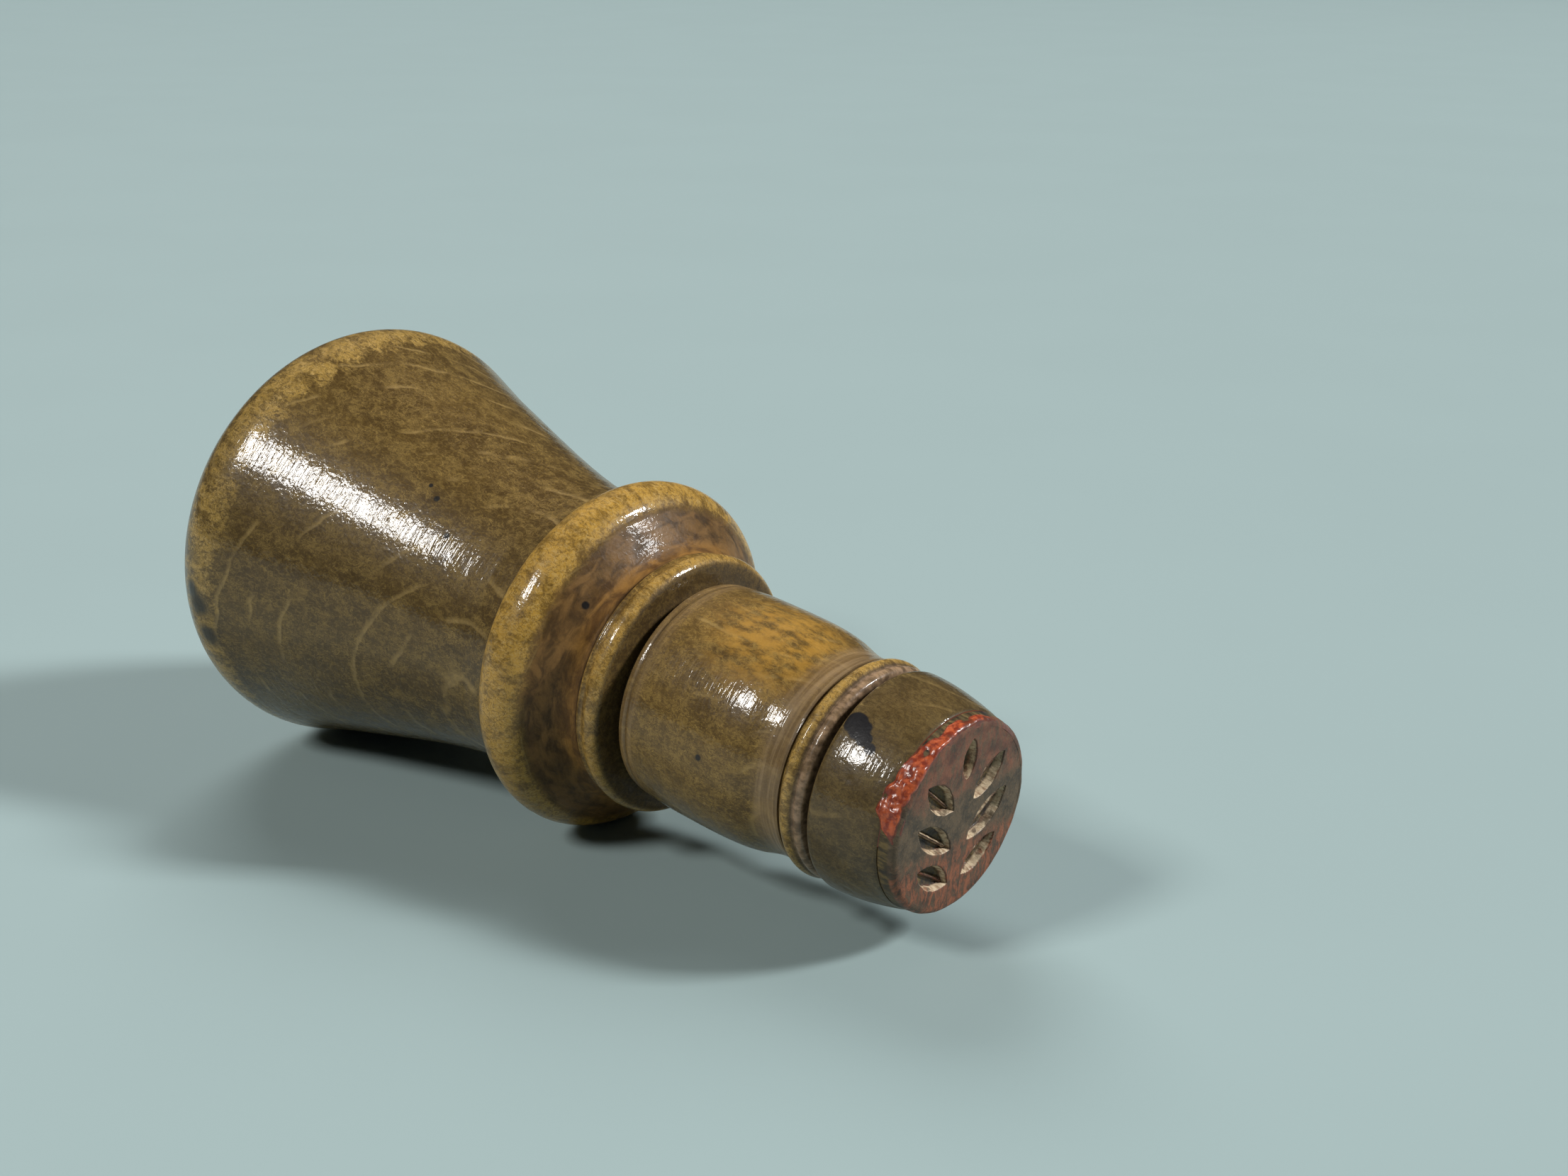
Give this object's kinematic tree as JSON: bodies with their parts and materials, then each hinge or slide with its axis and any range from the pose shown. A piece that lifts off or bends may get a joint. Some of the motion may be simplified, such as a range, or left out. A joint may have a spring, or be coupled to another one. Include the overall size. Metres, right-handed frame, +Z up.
{
  "type": "hand stamp",
  "caption": "Turned wooden hand stamp with a flared palm knob, beaded collar, bulging barrel and a small round knife-carved die face.",
  "frame": {"origin": "middle of the bounding box at the bottom, on the surface that the stamp lies on", "axes": "+Z up, +X along the lying stamp towards the die face, +Y to the side; the turning axis is in the XZ plane and dips 6.9 degrees towards the die"},
  "size_m": [0.0776, 0.0388, 0.0386],
  "materials": {
    "die_wood": "end-grain wood stained by dried red ink, matt",
    "dark_wood": "brown fine-grained wood, polished with old varnish",
    "light_wood": "golden brown fine-grained wood, worn and polished with old varnish",
    "dowel_wood": "plain unfinished dowel"
  },
  "bodies": {
    "root": {"die_plate": "die_wood", "head": "dark_wood", "neck_ring": "light_wood", "barrel": "dark_wood", "bead_ring": "light_wood", "collar": "light_wood", "palm_knob": "dark_wood", "core_dowel": "dowel_wood"}
  },
  "joints": []
}
